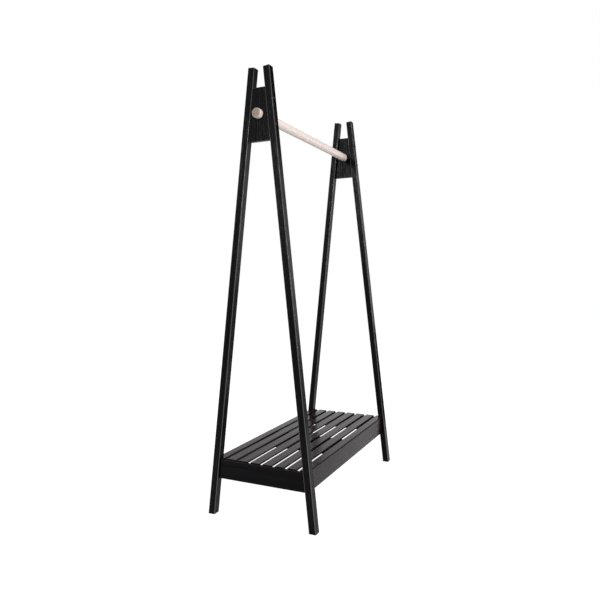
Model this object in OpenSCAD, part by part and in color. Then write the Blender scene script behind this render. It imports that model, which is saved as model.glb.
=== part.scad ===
// Kimono stand: two leaning end frames, a low slatted shelf and a round hanging rod.
// Millimetres. +Z is up, X runs along the rod and -Y is the front of the stand.
// The origin lies on the floor under the middle of the stand.

/* [Overall] */
// Height of the legs' tips above the floor
stand_h = 1500; // [1300:10:1700]
// Length over both end frames
stand_len = 790; // [600:2:1000]
// Spread of the feet, outside to outside
foot_spread = 400; // [360:2:460]
// Spread of the tips, outside to outside
tip_spread = 80; // [72:1:110]

/* [Legs] */
// Width of a leg, seen from the end of the stand
leg_w = 24.5; // [21:0.5:27]
// Thickness of a leg, along the rod
leg_t = 27; // [24:0.5:32]
// Rounding of a leg's long edges
leg_round = 2; // [1:0.5:4]

/* [Gussets] */
// Thickness of a gusset board, flush with the legs' outer faces
gusset_t = 13; // [9:0.5:18]
// Height of a gusset board
gusset_h = 181; // [160:1:200]
// Drop from the tips to a gusset's top edge
gusset_drop = 71; // [50:1:90]

/* [Hanging rod] */
// Diameter of the rod
rod_d = 32; // [28:0.5:38]
// Drop from the tips to the rod's centre line
rod_drop = 160; // [148:1:175]
// Length of rod that stands out past each end frame
rod_over = 17; // [10:1:40]
// Chamfer on the rod's ends
rod_chamfer = 1.5; // [0.5:0.5:4]
// Radial running clearance of the rod in its bores
rod_fit = 0.05; // [0.02:0.01:0.1]

/* [Shelf] */
// Height of the shelf's top face above the floor
shelf_z = 190; // [160:0.5:260]
// Thickness of the slats
slat_t = 5.5; // [4:0.5:8]
// Gap between neighbouring slats
slat_gap = 12; // [8:0.5:16]
// Width of the two edge slats
edge_slat_w = 29; // [24:0.5:34]
// Clearance of the edge slats' notches round the legs
notch_gap = 0.4; // [0.2:0.1:1]

/* [Rails] */
// Thickness of the rail boards
rail_t = 9; // [8:0.5:12]
// Height of the rail boards
rail_h = 63; // [52:1:80]
// Set-back of the end rails from the end frames' outer faces
end_inset = 8; // [6:0.5:12]
// Set-back of the long rails from the legs' outer faces, at the shelf
side_inset = 9; // [7:0.5:10]
// Depth of the middle rail's housings in the long rails
housing_d = 3; // [2:0.5:5]
// Clearance of the middle rail at each side of a housing
housing_fit = 0.1; // [0.05:0.05:0.3]

/* [Screws] */
// Diameter of a screw's shank
screw_d = 4; // [3:0.5:5]
// Length of a screw under its head
screw_len = 45; // [36:1:50]
// Diameter of a screw's domed head
head_d = 8; // [7:0.5:10]
// Height of a screw's domed head
head_h = 2.2; // [1.8:0.1:3]
// Drop from a gusset's top edge to its upper screws
screw_drop = 40; // [30:1:50]
// Distance between the upper and lower screws
screw_pitch = 88; // [75:1:100]
// Radial clearance round screws and dowels
fix_fit = 0.05; // [0.02:0.01:0.1]

/* [Dowels] */
// Diameter of a dowel
dowel_d = 5; // [4:0.5:6]
// Length of a dowel, half of it in the leg
dowel_len = 24; // [18:1:28]
// Distance between the two dowels at each end of a long rail
long_dowel_pitch = 40; // [36:1:42]
// Distance between the two dowels at each end of an end rail
end_dowel_pitch = 20; // [14:1:22]

/* [Hidden] */

// Lean of every leg from upright, and the length of a leg along its outer face
lean = atan((foot_spread - tip_spread)/2/stand_h);
leg_len = stand_h/cos(lean);
frame_x = stand_len/2;

gusset_top = stand_h - gusset_drop;
gusset_x = frame_x - gusset_t/2;
rod_z = stand_h - rod_drop;
rod_len = stand_len + 2*rod_over;

// The rails' top edges carry the slats; the long rails' outer faces and the edge slats are flush
rail_top = shelf_z - slat_t;
rail_mid = rail_top - rail_h/2;
rail_y = leg_out(shelf_z) - side_inset;
rail_x = frame_x - leg_t;
slat_x = frame_x - end_inset;

// The inner slats share what the edge slats and the gaps leave
slat_n = 6;
slat_w = (2*(rail_y - edge_slat_w) - (slat_n + 1)*slat_gap)/slat_n;
slat_pitch = slat_w + slat_gap;

// Depth of a dowel's blind hole past the dowel's end, and a cutter's reach past a face
blind_gap = 0.5;
cut = 1;

// Screw head: straight rim under the dome, and the cross recess; screw tip; dowel ends
head_rim = 0.7;
recess_l = 4.4;
recess_w = 0.9;
recess_d = 1.3;
tip_len = 5;
tip_d = 1;
dowel_chamfer = 0.5;

// Facets of small turned details, and of the rod and its bores
$fn = 32;
rod_facets = 96;

stain = [0.10, 0.07, 0.08];
beech = [0.86, 0.77, 0.63];
dark_steel = [0.08, 0.08, 0.08];
birch = [0.80, 0.68, 0.48];

// Distance of a leg's outer and inner faces from the middle plane, at height z
function leg_out(z) = foot_spread/2 - z*tan(lean);
function leg_in(z) = leg_out(z) - leg_w/cos(lean);

// Everything is drawn for the right rear corner and mirrored to the other three
module corner(sx, sy) {
    mirror([sx < 0 ? 1 : 0, 0, 0])
        mirror([0, sy < 0 ? 1 : 0, 0])
            children();
}

// The rear leg's own frame: z runs up along its outer face, -y goes in through the leg
module leg_frame() {
    translate([0, foot_spread/2, 0])
        rotate([lean, 0, 0])
            children();
}

// Square bar with rounded long edges
module rounded_bar(t, w, len, r) {
    translate([0, r, 0])
        cube([t, w - 2*r, len]);
    translate([r, 0, 0])
        cube([t - 2*r, w, len]);
    for (x = [r, t - r], y = [r, w - r])
        translate([x, y, 0])
            cylinder(h = len, r = r);
}

// Board with its ends cut to the legs' lean, facing along X, centred at x
module leaned_board(x, t, z0, z1) {
    translate([x - t/2, 0, 0])
        rotate([90, 0, 90])
            linear_extrude(t)
                polygon([[-leg_in(z0), z0], [leg_in(z0), z0], [leg_in(z1), z1], [-leg_in(z1), z1]]);
}

// The two screw places of a rear right leg, square to its outer face and pointing inwards
module at_screws() {
    for (z = [gusset_top - screw_drop, gusset_top - screw_drop - screw_pitch])
        leg_frame()
            translate([gusset_x, 0, z/cos(lean)])
                rotate([90, 0, 0])
                    children();
}

// The dowel places of the rear right corner: along X into the long rail, along Y into the end rail
module at_long_dowels() {
    for (dz = [-long_dowel_pitch/2, long_dowel_pitch/2])
        translate([rail_x, rail_y - rail_t/2, rail_mid + dz])
            rotate([0, 90, 0])
                children();
}

module at_end_dowels() {
    for (dz = [-end_dowel_pitch/2, end_dowel_pitch/2])
        translate([slat_x - rail_t/2, leg_in(rail_mid + dz), rail_mid + dz])
            rotate([90, 0, 0])
                children();
}

module screw_bore() {
    translate([0, 0, -cut])
        cylinder(h = screw_len + blind_gap + cut, d = screw_d + 2*fix_fit);
}

module dowel_bore() {
    translate([0, 0, -dowel_len/2 - blind_gap])
        cylinder(h = dowel_len + 2*blind_gap, d = dowel_d + 2*fix_fit);
}

module leg(sx, sy) {
    color(stain)
        corner(sx, sy)
            difference() {
                leg_frame()
                    translate([rail_x, -leg_w, 0])
                        rounded_bar(leg_t, leg_w, leg_len, leg_round);
                // the foot is cut flat on the floor
                translate([rail_x - cut, foot_spread/2 - 2*leg_w, -leg_w])
                    cube([leg_t + 2*cut, 3*leg_w, leg_w]);
                at_screws()
                    screw_bore();
                at_long_dowels()
                    dowel_bore();
                at_end_dowels()
                    dowel_bore();
            }
}

module gusset(sx) {
    color(stain)
        difference() {
            leaned_board(sx*gusset_x, gusset_t, gusset_top - gusset_h, gusset_top);
            translate([sx*gusset_x - gusset_t/2 - cut, 0, rod_z])
                rotate([0, 90, 0])
                    cylinder(h = gusset_t + 2*cut, d = rod_d + 2*rod_fit, $fn = rod_facets);
            for (sy = [-1, 1])
                corner(sx, sy)
                    at_screws()
                        screw_bore();
        }
}

// Domed head with a cross recess, and a shank with a pointed tip
module screw() {
    difference() {
        rotate_extrude()
            polygon(concat([[0, 0], [head_d/2, 0]],
                           [for (a = [0:18:90]) [head_d/2*cos(a), -head_rim - (head_h - head_rim)*sin(a)]]));
        for (a = [0, 90])
            rotate([0, 0, a])
                translate([-recess_l/2, -recess_w/2, -head_h - cut])
                    cube([recess_l, recess_w, recess_d + cut]);
    }
    cylinder(h = screw_len - tip_len, d = screw_d);
    translate([0, 0, screw_len - tip_len])
        cylinder(h = tip_len, d1 = screw_d, d2 = tip_d);
}

module gusset_screws() {
    color(dark_steel)
        for (sx = [-1, 1], sy = [-1, 1])
            corner(sx, sy)
                at_screws()
                    screw();
}

module end_rail(sx) {
    color(stain)
        difference() {
            leaned_board(sx*(slat_x - rail_t/2), rail_t, rail_top - rail_h, rail_top);
            for (sy = [-1, 1])
                corner(sx, sy)
                    at_end_dowels()
                        dowel_bore();
        }
}

module long_rail(sy) {
    color(stain)
        difference() {
            corner(1, sy)
                translate([-rail_x, rail_y - rail_t, rail_top - rail_h])
                    cube([2*rail_x, rail_t, rail_h]);
            // housing for the middle rail
            corner(1, sy)
                translate([-rail_t/2 - housing_fit, rail_y - rail_t - cut, rail_top - rail_h - cut])
                    cube([rail_t + 2*housing_fit, housing_d + cut, rail_h + 2*cut]);
            for (sx = [-1, 1])
                corner(sx, sy)
                    at_long_dowels()
                        dowel_bore();
        }
}

module middle_rail() {
    reach = rail_y - rail_t + housing_d;
    color(stain)
        translate([-rail_t/2, -reach, rail_top - rail_h])
            cube([rail_t, 2*reach, rail_h]);
}

module slat(i) {
    color(stain)
        translate([-slat_x, (i - (slat_n + 1)/2)*slat_pitch - slat_w/2, rail_top])
            cube([2*slat_x, slat_w, slat_t]);
}

// The edge slats lie flush with the long rails and are notched round the legs
module edge_slat(sy) {
    color(stain)
        difference() {
            corner(1, sy)
                translate([-slat_x, rail_y - edge_slat_w, rail_top])
                    cube([2*slat_x, edge_slat_w, slat_t]);
            for (sx = [-1, 1])
                corner(sx, sy)
                    translate([rail_x - notch_gap, leg_in(shelf_z) - notch_gap, rail_top - cut])
                        cube([leg_t + cut, edge_slat_w, slat_t + 2*cut]);
        }
}

module dowel() {
    rotate_extrude()
        polygon([[0, -dowel_len/2], [dowel_d/2 - dowel_chamfer, -dowel_len/2],
                 [dowel_d/2, -dowel_len/2 + dowel_chamfer], [dowel_d/2, dowel_len/2 - dowel_chamfer],
                 [dowel_d/2 - dowel_chamfer, dowel_len/2], [0, dowel_len/2]]);
}

module long_rail_dowels() {
    color(birch)
        for (sx = [-1, 1], sy = [-1, 1])
            corner(sx, sy)
                at_long_dowels()
                    dowel();
}

module end_rail_dowels() {
    color(birch)
        for (sx = [-1, 1], sy = [-1, 1])
            corner(sx, sy)
                at_end_dowels()
                    dowel();
}

module hanging_rod() {
    color(beech)
        translate([0, 0, rod_z])
            rotate([0, 90, 0])
                rotate_extrude($fn = rod_facets)
                    polygon([[0, -rod_len/2], [rod_d/2 - rod_chamfer, -rod_len/2],
                             [rod_d/2, -rod_len/2 + rod_chamfer], [rod_d/2, rod_len/2 - rod_chamfer],
                             [rod_d/2 - rod_chamfer, rod_len/2], [0, rod_len/2]]);
}

leg(-1, -1);  // leg_left_front
leg(-1, 1);  // leg_left_rear
leg(1, -1);  // leg_right_front
leg(1, 1);  // leg_right_rear
gusset(-1);  // gusset_left
gusset(1);  // gusset_right
gusset_screws();
end_rail(-1);  // end_rail_left
end_rail(1);  // end_rail_right
long_rail(-1);  // front_rail
long_rail(1);  // rear_rail
middle_rail();
edge_slat(-1);  // edge_slat_front
slat(1);  // slat_1
slat(2);  // slat_2
slat(3);  // slat_3
slat(4);  // slat_4
slat(5);  // slat_5
slat(6);  // slat_6
edge_slat(1);  // edge_slat_rear
long_rail_dowels();
end_rail_dowels();
hanging_rod();
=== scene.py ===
import math

import bpy
from mathutils import Matrix, Quaternion, Vector


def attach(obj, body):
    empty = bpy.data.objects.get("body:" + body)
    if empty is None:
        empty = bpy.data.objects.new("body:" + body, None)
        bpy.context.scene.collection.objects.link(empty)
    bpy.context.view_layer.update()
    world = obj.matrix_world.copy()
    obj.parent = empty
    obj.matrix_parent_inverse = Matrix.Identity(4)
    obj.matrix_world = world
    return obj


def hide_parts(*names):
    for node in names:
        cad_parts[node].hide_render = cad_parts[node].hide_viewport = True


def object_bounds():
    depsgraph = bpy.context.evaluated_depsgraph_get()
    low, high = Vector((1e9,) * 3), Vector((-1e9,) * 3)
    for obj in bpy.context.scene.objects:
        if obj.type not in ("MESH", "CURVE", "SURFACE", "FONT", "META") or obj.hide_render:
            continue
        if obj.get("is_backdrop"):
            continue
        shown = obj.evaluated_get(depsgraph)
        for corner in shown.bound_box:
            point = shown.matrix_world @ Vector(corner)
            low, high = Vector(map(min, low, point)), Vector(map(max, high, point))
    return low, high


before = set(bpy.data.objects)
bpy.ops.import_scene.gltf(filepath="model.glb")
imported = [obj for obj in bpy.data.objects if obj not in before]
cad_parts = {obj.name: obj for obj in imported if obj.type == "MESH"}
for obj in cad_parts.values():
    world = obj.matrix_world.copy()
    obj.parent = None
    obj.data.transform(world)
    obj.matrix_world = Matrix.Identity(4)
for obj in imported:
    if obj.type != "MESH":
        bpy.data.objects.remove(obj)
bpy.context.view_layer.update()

# ---------------------------------------------------------------- studio
# A pale floor that runs out of sight into a white surround. The floor is a
# shade under white, so that the stand keeps its soft shadow at the feet.

SURROUND_LIGHT = 0.50
SURROUND_SEEN = 1.0
FLOOR_SIZE = 40.0
FLOOR_LIT_GREY = 0.62
FLOOR_SHADOW_GREY = 0.27
FLOOR_LIFT = 0.89


def even_grey(level):
    return (level, level, level, 1.0)


def white_surround(tree, plain, seen):
    """Lights the stand with plain, and shows seen to the camera and to reflections."""
    nodes = tree.nodes
    links = tree.links
    path = nodes.new("ShaderNodeLightPath")
    eye_or_gloss = nodes.new("ShaderNodeMath")
    eye_or_gloss.operation = "MAXIMUM"
    links.new(path.outputs["Is Camera Ray"], eye_or_gloss.inputs[0])
    links.new(path.outputs["Is Glossy Ray"], eye_or_gloss.inputs[1])
    any_seen = nodes.new("ShaderNodeMath")
    any_seen.operation = "MAXIMUM"
    links.new(eye_or_gloss.outputs[0], any_seen.inputs[0])
    links.new(path.outputs["Is Transmission Ray"], any_seen.inputs[1])
    mix = nodes.new("ShaderNodeMixShader")
    links.new(any_seen.outputs[0], mix.inputs[0])
    links.new(plain, mix.inputs[1])
    links.new(seen, mix.inputs[2])
    return mix.outputs[0]


surround = bpy.data.worlds.new("white_surround")
bpy.context.scene.world = surround
surround.use_nodes = True
sky = surround.node_tree
sky.nodes.clear()
soft_light = sky.nodes.new("ShaderNodeBackground")
soft_light.inputs["Color"].default_value = even_grey(1.0)
soft_light.inputs["Strength"].default_value = SURROUND_LIGHT
white_back = sky.nodes.new("ShaderNodeBackground")
white_back.inputs["Color"].default_value = even_grey(1.0)
white_back.inputs["Strength"].default_value = SURROUND_SEEN
sky_out = sky.nodes.new("ShaderNodeOutputWorld")
sky.links.new(white_surround(sky, soft_light.outputs[0], white_back.outputs[0]), sky_out.inputs[0])

bpy.ops.object.select_all(action="DESELECT")
bpy.ops.mesh.primitive_plane_add(size=FLOOR_SIZE, location=(0.0, 0.0, 0.0))
floor = bpy.context.object
floor.name = "studio_floor"
pale = bpy.data.materials.new("pale_floor")
pale.use_nodes = True
ground = pale.node_tree
ground.nodes.clear()
matt_white = ground.nodes.new("ShaderNodeBsdfDiffuse")
matt_white.inputs["Color"].default_value = even_grey(FLOOR_LIT_GREY)
shadow_catch = ground.nodes.new("ShaderNodeBsdfDiffuse")
shadow_catch.inputs["Color"].default_value = even_grey(FLOOR_SHADOW_GREY)
lift = ground.nodes.new("ShaderNodeEmission")
lift.inputs["Strength"].default_value = FLOOR_LIFT
seen_floor = ground.nodes.new("ShaderNodeAddShader")
ground.links.new(shadow_catch.outputs[0], seen_floor.inputs[0])
ground.links.new(lift.outputs[0], seen_floor.inputs[1])
ground_out = ground.nodes.new("ShaderNodeOutputMaterial")
ground.links.new(
    white_surround(ground, matt_white.outputs[0], seen_floor.outputs[0]),
    ground_out.inputs[0],
)
floor.data.materials.append(pale)
floor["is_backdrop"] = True

# ----------------------------------------------------------------- lamps
# Soft boxes round the stand. The key lights only the matt share of a surface;
# the weaker, narrower edge light at the same place gives the lacquer its thin
# bright line.

KEY_PLACE = (-0.80, -3.1, 1.75)
KEY_AIM = (-0.1, 0.0, 1.0)
FILL_PLACE = (0.5, 3.6, 2.0)
FILL_AIM = (0.0, 0.0, 1.0)
STRIP_PLACE = (2.6, -2.45, 1.1)
STRIP_AIM = (-0.4, 0.05, 1.0)
BACK_PLACE = (-11.1, 3.1, 3.3)
BACK_AIM = (0.385, 0.0, 1.25)


def soft_box(name, place, aim, wide, tall, watts, in_gloss=False, in_matt=True):
    """A soft light of wide by tall metres that faces the point aim."""
    lamp = bpy.data.lights.new(name, "AREA")
    lamp.shape = "RECTANGLE"
    lamp.size = wide
    lamp.size_y = tall
    lamp.energy = watts
    holder = bpy.data.objects.new(name, lamp)
    bpy.context.scene.collection.objects.link(holder)
    holder.location = place
    holder.rotation_euler = (Vector(aim) - Vector(place)).to_track_quat("-Z", "Y").to_euler()
    holder.visible_camera = False
    holder.visible_glossy = in_gloss
    holder.visible_diffuse = in_matt


soft_box("key_front", KEY_PLACE, KEY_AIM, wide=0.80, tall=1.1, watts=66.0)
soft_box(
    "edge_light", KEY_PLACE, KEY_AIM, wide=0.45, tall=1.1, watts=22.0, in_gloss=True, in_matt=False
)
soft_box("fill_rear", FILL_PLACE, FILL_AIM, wide=1.6, tall=1.4, watts=55.0)
soft_box("strip_right", STRIP_PLACE, STRIP_AIM, wide=0.6, tall=1.4, watts=18.0, in_gloss=True)
soft_box("back_left", BACK_PLACE, BACK_AIM, wide=1.3, tall=1.2, watts=230.0, in_gloss=True)

# ---------------------------------------------------------- gloss cards
# Flat cards that only reflections see. The black one keeps the upper ends of
# the front legs dark, the grey one shades the shelf towards its left end, and
# the low one stands on the floor and darkens the right front leg's lower third.

BLACK_PLACE = (2.35, -1.20, 3.00)
BLACK_AIM = (-0.4, 0.0, 1.4)
GREY_PLACE = (3.36, 1.71, 2.55)
GREY_AIM = (0.0, 0.0, 0.19)
LOW_PLACE = (1.20, -0.47, 0.282)
LOW_AIM = (0.38, -0.15, 0.282)


def gloss_card(name, place, aim, wide, tall, turn=0.0, grey=0.0):
    """A card of wide by tall metres, turned by some degrees; black where grey is 0."""
    bpy.ops.object.select_all(action="DESELECT")
    bpy.ops.mesh.primitive_plane_add(size=1.0, location=place)
    card = bpy.context.object
    card.name = name
    card.scale = (wide, tall, 1.0)
    facing = (Vector(aim) - Vector(place)).to_track_quat("Z", "Y")
    turned = Quaternion((0.0, 0.0, 1.0), math.radians(turn))
    card.rotation_euler = (facing @ turned).to_euler()
    bpy.ops.object.transform_apply(location=True, rotation=True, scale=True)
    card.visible_camera = False
    card.visible_diffuse = False
    card.visible_shadow = False
    card.visible_transmission = False
    paper = bpy.data.materials.new(name)
    paper.use_nodes = True
    tree = paper.node_tree
    tree.nodes.clear()
    glow = tree.nodes.new("ShaderNodeEmission")
    glow.inputs["Strength"].default_value = grey
    paper_out = tree.nodes.new("ShaderNodeOutputMaterial")
    tree.links.new(glow.outputs[0], paper_out.inputs[0])
    card.data.materials.append(paper)
    card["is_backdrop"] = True


gloss_card("black_card", BLACK_PLACE, BLACK_AIM, wide=2.4, tall=1.7, turn=18.0)
gloss_card("grey_card", GREY_PLACE, GREY_AIM, wide=3.6, tall=2.73, grey=0.48)
gloss_card("low_card", LOW_PLACE, LOW_AIM, wide=0.60, tall=0.56)

# ---------------------------------------------------------------- camera
# It stands to the front left at about waist height and is turned a little up.
# Pan, rise and roll are in degrees, and a pan of 0 looks along +X.

EYE_PLACE = (-2.01064, -0.92779, 0.80233)
EYE_PAN = 25.2837
EYE_RISE = 1.52697
EYE_ROLL = -0.27077
SENSOR_WIDE = 36.0
FOCAL_LENGTH = 33.955
SHIFT_ACROSS = -0.00719
SHIFT_UP = -0.06470

lens = bpy.data.cameras.new("photo_camera")
lens.sensor_width = SENSOR_WIDE
lens.lens = FOCAL_LENGTH
lens.shift_x = SHIFT_ACROSS
lens.shift_y = SHIFT_UP
eye = bpy.data.objects.new("photo_camera", lens)
bpy.context.scene.collection.objects.link(eye)
eye.matrix_world = (
    Matrix.Translation(EYE_PLACE)
    @ Matrix.Rotation(math.radians(EYE_PAN - 90.0), 4, "Z")
    @ Matrix.Rotation(math.radians(90.0 + EYE_RISE), 4, "X")
    @ Matrix.Rotation(math.radians(EYE_ROLL), 4, "Z")
)
bpy.context.scene.camera = eye
bpy.context.scene.view_settings.view_transform = "Standard"

# ------------------------------------------------------------------ legs
# Four planed square bars, stained black-brown and lacquered satin. Each one
# leans in by about six degrees, is cut flat at the floor and square at the tip,
# and has its long edges rounded over.

STAND_LONG = 0.790
STAND_HIGH = 1.500
FOOT_OUT = 0.200
TIP_OUT = 0.040
LEG_WIDE = 0.0245
LEG_THICK = 0.027
LEG_ROUND = 0.002
LEG_ROUND_STEPS = 5
LEG_EDGE_SHINE = 0.9
SPARE_FOOT = 0.010
SAWN_EASE = 0.0009
LEAN = math.atan((FOOT_OUT - TIP_OUT) / STAND_HIGH)
FRAME_X = STAND_LONG / 2

STAIN = ((0.0010, 0.0009, 0.0012), (0.0050, 0.0041, 0.0053))
WORN_STAIN = ((0.0030, 0.0022, 0.0026), (0.0120, 0.0085, 0.0092))
STREAK_LIFT = 1.8
WAVE_DEPTH = 0.0008
PORE_DEPTH = 0.0002
PORE_SHARE = 0.30
SMOOTH_UNDER = math.radians(40.0)
AXES = {"X": (1, 0, 0), "Y": (0, 1, 0), "Z": (0, 0, 1)}


def leg_outer(z):
    """How far a leg's outer face is from the middle of the stand, at height z."""
    return FOOT_OUT - z * math.tan(LEAN)


def leg_inner(z):
    """The same for a leg's inner face."""
    return leg_outer(z) - LEG_WIDE / math.cos(LEAN)


def new_finish(name):
    """A material with its node tree and its skin shader."""
    finish = bpy.data.materials.new(name)
    finish.use_nodes = True
    tree = finish.node_tree
    return finish, tree, tree.nodes["Principled BSDF"]


def noise_along(tree, along, stretch, across, detail, tilt=0.0):
    """Wood noise drawn out along the board; tilt turns it with a leaning leg."""
    place = tree.nodes.new("ShaderNodeTexCoord")
    turn = tree.nodes.new("ShaderNodeMapping")
    turn.inputs["Rotation"].default_value = (tilt, 0.0, 0.0)
    tree.links.new(place.outputs["Object"], turn.inputs["Vector"])
    draw = tree.nodes.new("ShaderNodeMapping")
    draw.inputs["Scale"].default_value = [stretch if on else across for on in AXES[along]]
    tree.links.new(turn.outputs[0], draw.inputs["Vector"])
    grain = tree.nodes.new("ShaderNodeTexNoise")
    grain.inputs["Scale"].default_value = 1.0
    grain.inputs["Detail"].default_value = detail
    grain.inputs["Roughness"].default_value = 0.6
    grain.inputs["Distortion"].default_value = 0.4
    tree.links.new(draw.outputs[0], grain.inputs["Vector"])
    return grain.outputs["Fac"]


def between(tree, fac, band, values=(0.0, 1.0)):
    """Maps a band of the noise to a range of values."""
    span = tree.nodes.new("ShaderNodeMapRange")
    span.inputs["From Min"].default_value = band[0]
    span.inputs["From Max"].default_value = band[1]
    span.inputs["To Min"].default_value = values[0]
    span.inputs["To Max"].default_value = values[1]
    tree.links.new(fac, span.inputs["Value"])
    return span.outputs["Result"]


def two_colours(tree, fac, colours):
    """Goes from the first colour to the second as fac rises."""
    ramp = tree.nodes.new("ShaderNodeMix")
    ramp.data_type = "RGBA"
    ramp.inputs[6].default_value = (*colours[0], 1.0)
    ramp.inputs[7].default_value = (*colours[1], 1.0)
    tree.links.new(fac, ramp.inputs[0])
    return ramp.outputs[2]


def laid_over(tree, fac, under, colour):
    """Lays one colour over what is under it, as far as fac says."""
    layer = tree.nodes.new("ShaderNodeMix")
    layer.data_type = "RGBA"
    layer.inputs[7].default_value = (*colour, 1.0)
    tree.links.new(fac, layer.inputs[0])
    tree.links.new(under, layer.inputs[6])
    return layer.outputs[2]


def bumped(tree, height, strength, distance, under=None):
    """A bump of the given depth in metres, on top of another one or of the plain face."""
    bump = tree.nodes.new("ShaderNodeBump")
    bump.inputs["Strength"].default_value = strength
    bump.inputs["Distance"].default_value = distance
    tree.links.new(height, bump.inputs["Height"])
    if under is not None:
        tree.links.new(under, bump.inputs["Normal"])
    return bump.outputs[0]


def stained(name, along, tilt=0.0, colours=STAIN, rough=(0.16, 0.26), shine=0.055, depth=1.0):
    """Black-brown stain under satin lacquer: open grain shows as fine sunk lines."""
    finish, tree, skin = new_finish(name)
    skin.inputs["Specular IOR Level"].default_value = shine
    figure = noise_along(tree, along, stretch=2.2, across=70.0, detail=4.0, tilt=tilt)
    streaks = noise_along(tree, along, stretch=4.0, across=240.0, detail=2.0, tilt=tilt)
    pores = noise_along(tree, along, stretch=30.0, across=1500.0, detail=2.0, tilt=tilt)
    shade = two_colours(tree, between(tree, figure, (0.34, 0.66)), colours)
    streak_colour = [STREAK_LIFT * part for part in colours[1]]
    lined = laid_over(tree, between(tree, streaks, (0.55, 0.72)), shade, streak_colour)
    tree.links.new(lined, skin.inputs["Base Color"])
    tree.links.new(between(tree, pores, (0.35, 0.70), rough), skin.inputs["Roughness"])
    waves = bumped(tree, streaks, depth, WAVE_DEPTH)
    sunk = between(tree, pores, (0.52, 0.72), (1.0, 0.0))
    relief = bumped(tree, sunk, PORE_SHARE * depth, PORE_DEPTH, waves)
    tree.links.new(relief, skin.inputs["Normal"])
    return finish


def worn_edge(name, along, tilt=0.0, shine=0.45):
    """The same stain where rounded edges rub thin and bright, a little browner in patches."""
    return stained(name, along, tilt, WORN_STAIN, shine=shine)


def dress(piece, coats):
    for coat in coats:
        piece.data.materials.append(coat)


def fresh_block(name, centre, size):
    """A sawn block at its size and place, ready to be shaped in edit mode."""
    bpy.ops.object.select_all(action="DESELECT")
    bpy.ops.mesh.primitive_cube_add(size=1.0, location=centre)
    block = bpy.context.object
    block.name = name
    block.scale = size
    bpy.ops.object.transform_apply(location=True, rotation=True, scale=True)
    return block


def pick_edges(piece, wanted):
    """Selects the edges whose two ends pass the test, and enters edit mode."""
    bpy.ops.object.mode_set(mode="EDIT")
    bpy.ops.mesh.select_all(action="DESELECT")
    bpy.ops.mesh.select_mode(type="EDGE")
    bpy.ops.object.mode_set(mode="OBJECT")
    corners = piece.data.vertices
    for edge in piece.data.edges:
        edge.select = wanted(corners[edge.vertices[0]].co, corners[edge.vertices[1]].co)
    bpy.ops.object.mode_set(mode="EDIT")


def ease(piece, width, steps, angle=50.0):
    """Rounds every sharp arris over and gives the strip the worn-edge finish."""
    cut = piece.modifiers.new("eased", "BEVEL")
    cut.width = width
    cut.segments = steps
    cut.limit_method = "ANGLE"
    cut.angle_limit = math.radians(angle)
    cut.material = 1
    cut.harden_normals = False
    bpy.ops.object.modifier_apply(modifier=cut.name)
    bpy.ops.object.shade_smooth_by_angle(angle=SMOOTH_UNDER)
    flats = piece.modifiers.new("flat_faces", "WEIGHTED_NORMAL")
    flats.keep_sharp = True
    bpy.ops.object.modifier_apply(modifier=flats.name)


def leg(name, side_x, side_y, coats):
    """Planes one bar upright, rounds it, leans it and saws it flat on the floor."""
    long = STAND_HIGH / math.cos(LEAN)
    x_mid = side_x * (FRAME_X - LEG_THICK / 2)
    y_mid = side_y * (FOOT_OUT - LEG_WIDE / 2)
    bar = fresh_block(
        name, (x_mid, y_mid, (long - SPARE_FOOT) / 2), (LEG_THICK, LEG_WIDE, long + SPARE_FOOT)
    )
    dress(bar, coats)
    pick_edges(bar, lambda a, b: abs(a.z - b.z) > long / 2)
    bpy.ops.mesh.bevel(offset=LEG_ROUND, segments=LEG_ROUND_STEPS, affect="EDGES", material=1)
    bpy.ops.object.mode_set(mode="OBJECT")
    foot = Vector((0.0, side_y * FOOT_OUT, 0.0))
    bar.data.transform(
        Matrix.Translation(foot)
        @ Matrix.Rotation(side_y * LEAN, 4, "X")
        @ Matrix.Translation(-foot)
    )
    bpy.ops.object.mode_set(mode="EDIT")
    bpy.ops.mesh.select_all(action="SELECT")
    bpy.ops.mesh.bisect(
        plane_co=(0.0, 0.0, 0.0),
        plane_no=(0.0, 0.0, 1.0),
        use_fill=True,
        clear_inner=True,
        threshold=1e-6,
    )
    bpy.ops.object.mode_set(mode="OBJECT")
    ease(bar, SAWN_EASE, steps=1, angle=60.0)
    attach(bar, "stand")
    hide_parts(name)


front_coats = [
    stained("leg_stain_front", "Z", LEAN),
    worn_edge("leg_edge_front", "Z", LEAN, LEG_EDGE_SHINE),
]
rear_coats = [
    stained("leg_stain_rear", "Z", -LEAN),
    worn_edge("leg_edge_rear", "Z", -LEAN, LEG_EDGE_SHINE),
]
leg("leg_left_front", -1, -1, front_coats)
leg("leg_left_rear", -1, 1, rear_coats)
leg("leg_right_front", 1, -1, front_coats)
leg("leg_right_rear", 1, 1, rear_coats)

# --------------------------------------------------------------- gussets
# A tapered board, thirteen millimetres thick, closes the top of each end frame
# and carries the rod in a drilled bore. Its outer face is flush with the legs;
# both arrises are eased, so that a fine groove marks each joint.

GUSSET_THICK = 0.013
GUSSET_TOP = 1.429
GUSSET_LOW = 1.248
GUSSET_EASE = 0.0015
ROD_HIGH = 1.340
ROD_ROUND = 0.016
BORE_ROUND = 0.01605
ROUND_SIDES = 96
GUSSET_X = FRAME_X - GUSSET_THICK / 2
QUARTER_TURN = math.radians(90.0)
FACES_ALONG = 0.9


def pick_faces(piece, wanted):
    """Selects the faces whose normal passes the test, and enters edit mode."""
    bpy.ops.object.mode_set(mode="EDIT")
    bpy.ops.mesh.select_all(action="DESELECT")
    bpy.ops.mesh.select_mode(type="FACE")
    bpy.ops.object.mode_set(mode="OBJECT")
    for face in piece.data.polygons:
        face.select = wanted(face.normal)
    bpy.ops.object.mode_set(mode="EDIT")


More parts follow.
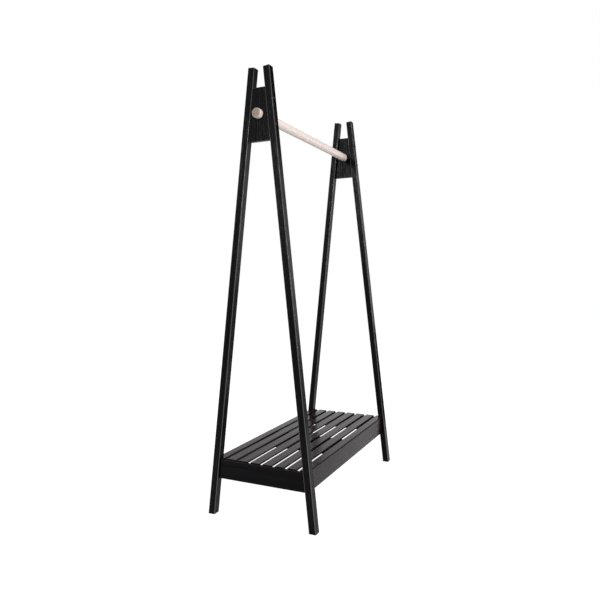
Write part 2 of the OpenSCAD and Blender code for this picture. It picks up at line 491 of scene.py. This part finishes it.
def cut_away(piece, cutter):
    """Takes the cutter's shape out of the piece and throws the cutter away."""
    bpy.ops.object.select_all(action="DESELECT")
    piece.select_set(True)
    bpy.context.view_layer.objects.active = piece
    saw = piece.modifiers.new("saw", "BOOLEAN")
    saw.operation = "DIFFERENCE"
    saw.solver = "EXACT"
    saw.object = cutter
    bpy.ops.object.modifier_apply(modifier=saw.name)
    bpy.data.objects.remove(cutter)


def leaned_board(name, x_mid, thick, low, top):
    """A board between two legs, its ends cut to their lean."""
    wide = 2 * leg_inner(low)
    board = fresh_block(name, (x_mid, 0.0, (low + top) / 2), (thick, wide, top - low))
    pick_faces(board, lambda normal: normal.z > FACES_ALONG)
    bpy.ops.transform.resize(value=(1.0, leg_inner(top) / leg_inner(low), 1.0))
    bpy.ops.object.mode_set(mode="OBJECT")
    return board


gusset_coats = [stained("gusset_stain", "Z"), worn_edge("gusset_edge", "Z")]
for name, side in (("gusset_left", -1), ("gusset_right", 1)):
    x_mid = side * GUSSET_X
    gusset = leaned_board(name, x_mid, GUSSET_THICK, GUSSET_LOW, GUSSET_TOP)
    dress(gusset, gusset_coats)
    bpy.ops.mesh.primitive_cylinder_add(
        vertices=ROUND_SIDES,
        radius=BORE_ROUND,
        depth=4 * GUSSET_THICK,
        location=(x_mid, 0.0, ROD_HIGH),
        rotation=(0.0, QUARTER_TURN, 0.0),
    )
    cut_away(gusset, bpy.context.object)
    ease(gusset, GUSSET_EASE, steps=3)
    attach(gusset, "stand")
    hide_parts(name)

# --------------------------------------------------------- gusset screws
# Eight black wood screws, two from each leg's outer face into the gusset's
# edge. Their domed heads with a cross recess stand proud of the legs.

HEAD_ROUND = 0.004
HEAD_RIM = 0.0007
HEAD_HIGH = 0.0022
HEAD_SIDES = 32
DOME_STEPS = 5
DOME_STEP_TURN = 16.0
SHANK_ROUND = 0.002
SHANK_LONG = 0.040
TIP_LONG = 0.005
TIP_SHARE = 0.25
RECESS_SIZE = (0.0044, 0.0009, 0.0026)
UPPER_SCREW = 1.389
LOWER_SCREW = 1.301
DRIVEN_TURN = 23.0
SMOOTH_TURNED = math.radians(35.0)
OXIDE = ((0.006, 0.006, 0.007), (0.030, 0.026, 0.024))


def black_oxide():
    """Blackened steel, cloudy from the bath."""
    finish, tree, skin = new_finish("black_oxide_screw")
    skin.inputs["Metallic"].default_value = 0.6
    cloud = tree.nodes.new("ShaderNodeTexNoise")
    cloud.inputs["Scale"].default_value = 900.0
    cloud.inputs["Detail"].default_value = 3.0
    place = tree.nodes.new("ShaderNodeTexCoord")
    tree.links.new(place.outputs["Object"], cloud.inputs["Vector"])
    fac = cloud.outputs["Fac"]
    tree.links.new(two_colours(tree, fac, OXIDE), skin.inputs["Base Color"])
    tree.links.new(between(tree, fac, (0.3, 0.7), (0.30, 0.48)), skin.inputs["Roughness"])
    return finish


def turned_screw():
    """Head up along +Z with its seat at the origin; the shank goes down."""
    bpy.ops.object.select_all(action="DESELECT")
    bpy.ops.mesh.primitive_cylinder_add(
        vertices=HEAD_SIDES, radius=HEAD_ROUND, depth=HEAD_RIM, location=(0.0, 0.0, HEAD_RIM / 2)
    )
    screw = bpy.context.object
    bpy.ops.object.transform_apply(location=True, rotation=True, scale=True)
    pick_faces(screw, lambda normal: normal.z > FACES_ALONG)
    rise_before = 0.0
    round_before = HEAD_ROUND
    for step in range(1, DOME_STEPS + 1):
        turn = math.radians(DOME_STEP_TURN * step)
        round_now = HEAD_ROUND * math.cos(turn)
        rise_now = (HEAD_HIGH - HEAD_RIM) * math.sin(turn)
        bpy.ops.mesh.inset(thickness=round_before - round_now, depth=0.0)
        bpy.ops.transform.translate(value=(0.0, 0.0, rise_now - rise_before))
        rise_before = rise_now
        round_before = round_now
    pick_faces(screw, lambda normal: normal.z < -FACES_ALONG)
    bpy.ops.mesh.inset(thickness=HEAD_ROUND - SHANK_ROUND, depth=0.0)
    for long in (SHANK_LONG, TIP_LONG):
        bpy.ops.mesh.extrude_region_move(TRANSFORM_OT_translate={"value": (0.0, 0.0, -long)})
    bpy.ops.transform.resize(value=(TIP_SHARE, TIP_SHARE, 1.0))
    bpy.ops.object.mode_set(mode="OBJECT")
    for turn in (0.0, QUARTER_TURN):
        bpy.ops.mesh.primitive_cube_add(size=1.0, location=(0.0, 0.0, HEAD_HIGH))
        driver_tip = bpy.context.object
        driver_tip.scale = RECESS_SIZE
        driver_tip.rotation_euler = (0.0, 0.0, turn)
        bpy.ops.object.transform_apply(location=True, rotation=True, scale=True)
        cut_away(screw, driver_tip)
    bpy.ops.object.shade_smooth_by_angle(angle=SMOOTH_TURNED)
    return screw


pattern_screw = turned_screw()
pattern_screw.data.materials.append(black_oxide())
driven = []
for side_x in (-1, 1):
    for side_y in (-1, 1):
        for high in (UPPER_SCREW, LOWER_SCREW):
            screw = pattern_screw.copy()
            screw.data = pattern_screw.data.copy()
            bpy.context.scene.collection.objects.link(screw)
            seat = Vector((side_x * GUSSET_X, side_y * leg_outer(high), high))
            screw.data.transform(
                Matrix.Translation(seat)
                @ Matrix.Rotation(side_y * (LEAN - QUARTER_TURN), 4, "X")
                @ Matrix.Rotation(math.radians(DRIVEN_TURN * len(driven)), 4, "Z")
            )
            driven.append(screw)
bpy.data.objects.remove(pattern_screw)
bpy.ops.object.select_all(action="DESELECT")
for screw in driven:
    screw.select_set(True)
bpy.context.view_layer.objects.active = driven[0]
bpy.ops.object.join()
screws = bpy.context.object
screws.name = "gusset_screws"
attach(screws, "stand")
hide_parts("gusset_screws")

# ----------------------------------------------------------------- rails
# Nine-millimetre boards on edge tie the legs together under the slats. The
# end rails have leaned ends and stand eight millimetres back from the legs'
# outer faces; the long rails butt on the legs; the middle rail is housed.

RAIL_THICK = 0.009
RAIL_TOP = 0.1845
RAIL_LOW = 0.1215
RAIL_EASE = 0.0008
MIDDLE_EASE = 0.0006
END_BACK = 0.008
RAIL_OUT = 0.17073
HOUSING = 0.003
HOUSING_SLACK = 0.0002
CUTTER_HIGH = 0.100
RAIL_END = FRAME_X - LEG_THICK
SLAT_END = FRAME_X - END_BACK
SHELF_STAIN = ((0.0040, 0.0015, 0.0029), (0.0118, 0.0048, 0.0088))

end_rail_coats = [stained("end_rail_stain", "Y", depth=0.4), worn_edge("end_rail_edge", "Y")]
for name, side in (("end_rail_left", -1), ("end_rail_right", 1)):
    x_mid = side * (SLAT_END - RAIL_THICK / 2)
    rail = leaned_board(name, x_mid, RAIL_THICK, RAIL_LOW, RAIL_TOP)
    dress(rail, end_rail_coats)
    ease(rail, RAIL_EASE, steps=2)
    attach(rail, "stand")
    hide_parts(name)


def shelf_stain(name, shine, depth, rough):
    """The shelf's long boards took the stain a little browner."""
    return stained(name, "X", colours=SHELF_STAIN, rough=rough, shine=shine, depth=depth)


long_rail_coats = [
    shelf_stain("long_rail_stain", shine=0.075, depth=1.0, rough=(0.11, 0.19)),
    worn_edge("long_rail_edge", "X"),
]
rail_mid = (RAIL_LOW + RAIL_TOP) / 2
for name, side in (("front_rail", -1), ("rear_rail", 1)):
    rail = fresh_block(
        name,
        (0.0, side * (RAIL_OUT - RAIL_THICK / 2), rail_mid),
        (2 * RAIL_END, RAIL_THICK, RAIL_TOP - RAIL_LOW),
    )
    dress(rail, long_rail_coats)
    groove = fresh_block(
        "groove",
        (0.0, side * (RAIL_OUT - RAIL_THICK), rail_mid),
        (RAIL_THICK + HOUSING_SLACK, 2 * HOUSING, CUTTER_HIGH),
    )
    cut_away(rail, groove)
    ease(rail, RAIL_EASE, steps=2)
    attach(rail, "stand")
    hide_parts(name)

middle = fresh_block(
    "middle_rail",
    (0.0, 0.0, rail_mid),
    (RAIL_THICK, 2 * (RAIL_OUT - RAIL_THICK + HOUSING), RAIL_TOP - RAIL_LOW),
)
dress(middle, end_rail_coats)
ease(middle, MIDDLE_EASE, steps=2)
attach(middle, "stand")
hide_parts("middle_rail")

# ----------------------------------------------------------------- slats
# Six even slats and two narrower edge slats, five and a half millimetres
# thick, lie along the shelf on the rails' top edges. The edge slats are flush
# with the long rails and notched round the four legs.

SHELF_TOP = 0.190
SLAT_GAP = 0.012
SLAT_COUNT = 6
SLAT_EASE = 0.0007
EDGE_SLAT_WIDE = 0.029
NOTCH_GAP = 0.0004
slat_wide = (2 * (RAIL_OUT - EDGE_SLAT_WIDE) - (SLAT_COUNT + 1) * SLAT_GAP) / SLAT_COUNT
slat_thick = SHELF_TOP - RAIL_TOP
slat_high = (SHELF_TOP + RAIL_TOP) / 2

slat_coats = [
    shelf_stain("slat_stain", shine=0.20, depth=0.35, rough=(0.19, 0.27)),
    shelf_stain("slat_edge", shine=0.02, depth=0.35, rough=(0.40, 0.50)),
]


def coat_slat(slat):
    """Satin on the flat faces; the sawn edges and their rounding stay matt."""
    dress(slat, slat_coats)
    for face in slat.data.polygons:
        face.material_index = 0 if abs(face.normal.z) > FACES_ALONG else 1
    ease(slat, SLAT_EASE, steps=3)


for count in range(1, SLAT_COUNT + 1):
    y_mid = (count - (SLAT_COUNT + 1) / 2) * (slat_wide + SLAT_GAP)
    name = f"slat_{count}"
    slat = fresh_block(name, (0.0, y_mid, slat_high), (2 * SLAT_END, slat_wide, slat_thick))
    coat_slat(slat)
    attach(slat, "stand")
    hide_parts(name)

for name, side in (("edge_slat_front", -1), ("edge_slat_rear", 1)):
    y_mid = side * (RAIL_OUT - EDGE_SLAT_WIDE / 2)
    slat = fresh_block(name, (0.0, y_mid, slat_high), (2 * SLAT_END, EDGE_SLAT_WIDE, slat_thick))
    for end in (-1, 1):
        notch = fresh_block(
            "notch",
            (
                end * (RAIL_END - NOTCH_GAP + LEG_THICK / 2),
                side * (leg_inner(SHELF_TOP) - NOTCH_GAP + EDGE_SLAT_WIDE / 2),
                slat_high,
            ),
            (LEG_THICK, EDGE_SLAT_WIDE, 4 * slat_thick),
        )
        cut_away(slat, notch)
    coat_slat(slat)
    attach(slat, "stand")
    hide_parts(name)

# ---------------------------------------------------------------- dowels
# Birch pins, glued in blind holes where the rails meet the legs. They are
# out of sight in the finished stand and keep their turned solids.

BIRCH = ((0.52, 0.36, 0.19), (0.68, 0.52, 0.31))


def raw_birch():
    """Bare pale wood with a fine straight streak."""
    finish, tree, skin = new_finish("raw_birch")
    streak = noise_along(tree, "X", stretch=40.0, across=900.0, detail=3.0)
    tree.links.new(two_colours(tree, streak, BIRCH), skin.inputs["Base Color"])
    tree.links.new(between(tree, streak, (0.3, 0.7), (0.55, 0.75)), skin.inputs["Roughness"])
    return finish


birch = raw_birch()
for name in ("long_rail_dowels", "end_rail_dowels"):
    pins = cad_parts[name]
    pins.data.materials.clear()
    pins.data.materials.append(birch)

# ----------------------------------------------------------- hanging rod
# A round beech bar, thirty-two millimetres thick, left pale under a clear
# matt coat. It slides in the gussets' bores and stands out seventeen
# millimetres past each frame, where its sawn end grain shows.

ROD_LONG = 0.824
ROD_CHAMFER = 0.0015
ROD_CHAMFER_STEPS = 3
SAME_PLACE = 1e-5
HEART_ASIDE = 0.031
HEART_UNDER = 0.012
FLECK_DEPTH = 0.0001
BEECH = ((0.70, 0.605, 0.555), (0.79, 0.710, 0.665))
BEECH_FLECK = (0.52, 0.38, 0.30)
BEECH_END = ((0.350, 0.262, 0.203), (0.480, 0.386, 0.312))


def clear_beech():
    """Pale side grain with the short brown flecks of beech."""
    finish, tree, skin = new_finish("beech_side")
    skin.inputs["Specular IOR Level"].default_value = 0.35
    figure = noise_along(tree, "X", stretch=3.0, across=110.0, detail=4.0)
    flecks = noise_along(tree, "X", stretch=260.0, across=2400.0, detail=1.0)
    pale_wood = two_colours(tree, between(tree, figure, (0.3, 0.7)), BEECH)
    fleck_share = between(tree, flecks, (0.66, 0.78), (0.0, 0.55))
    flecked = laid_over(tree, fleck_share, pale_wood, BEECH_FLECK)
    tree.links.new(flecked, skin.inputs["Base Color"])
    tree.links.new(between(tree, figure, (0.3, 0.7), (0.42, 0.55)), skin.inputs["Roughness"])
    tree.links.new(bumped(tree, flecks, 0.15, FLECK_DEPTH), skin.inputs["Normal"])
    return finish


def beech_end_grain():
    """Sawn end: tan growth rings round a heart that lies off the rod's centre."""
    finish, tree, skin = new_finish("beech_end")
    skin.inputs["Specular IOR Level"].default_value = 0.2
    skin.inputs["Roughness"].default_value = 0.7
    place = tree.nodes.new("ShaderNodeTexCoord")
    off_heart = tree.nodes.new("ShaderNodeMapping")
    off_heart.inputs["Location"].default_value = (0.0, HEART_ASIDE, -ROD_HIGH + HEART_UNDER)
    tree.links.new(place.outputs["Object"], off_heart.inputs["Vector"])
    rings = tree.nodes.new("ShaderNodeTexWave")
    rings.wave_type = "RINGS"
    rings.rings_direction = "X"
    rings.inputs["Scale"].default_value = 62.0
    rings.inputs["Distortion"].default_value = 1.2
    rings.inputs["Detail"].default_value = 2.0
    rings.inputs["Detail Scale"].default_value = 30.0
    tree.links.new(off_heart.outputs[0], rings.inputs["Vector"])
    tree.links.new(two_colours(tree, rings.outputs["Fac"], BEECH_END), skin.inputs["Base Color"])
    return finish


bpy.ops.object.select_all(action="DESELECT")
bpy.ops.mesh.primitive_cylinder_add(
    vertices=ROUND_SIDES,
    radius=ROD_ROUND,
    depth=ROD_LONG,
    location=(0.0, 0.0, ROD_HIGH),
    rotation=(0.0, QUARTER_TURN, 0.0),
)
rod = bpy.context.object
rod.name = "hanging_rod"
bpy.ops.object.transform_apply(location=True, rotation=True, scale=True)
dress(rod, [clear_beech(), beech_end_grain()])
for face in rod.data.polygons:
    face.material_index = 1 if abs(face.normal.x) > FACES_ALONG else 0
pick_edges(rod, lambda a, b: abs(a.x - b.x) < SAME_PLACE)
bpy.ops.mesh.bevel(offset=ROD_CHAMFER, segments=ROD_CHAMFER_STEPS, affect="EDGES", material=0)
bpy.ops.object.mode_set(mode="OBJECT")
bpy.ops.object.shade_smooth_by_angle(angle=SMOOTH_TURNED)
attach(rod, "rod")
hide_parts("hanging_rod")

# ------------------------------------------------------------------ size
# The dressed stand keeps inside the box of its solids. Here the box round the dressed pieces is
# measured.
bpy.context.view_layer.update()
low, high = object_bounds()
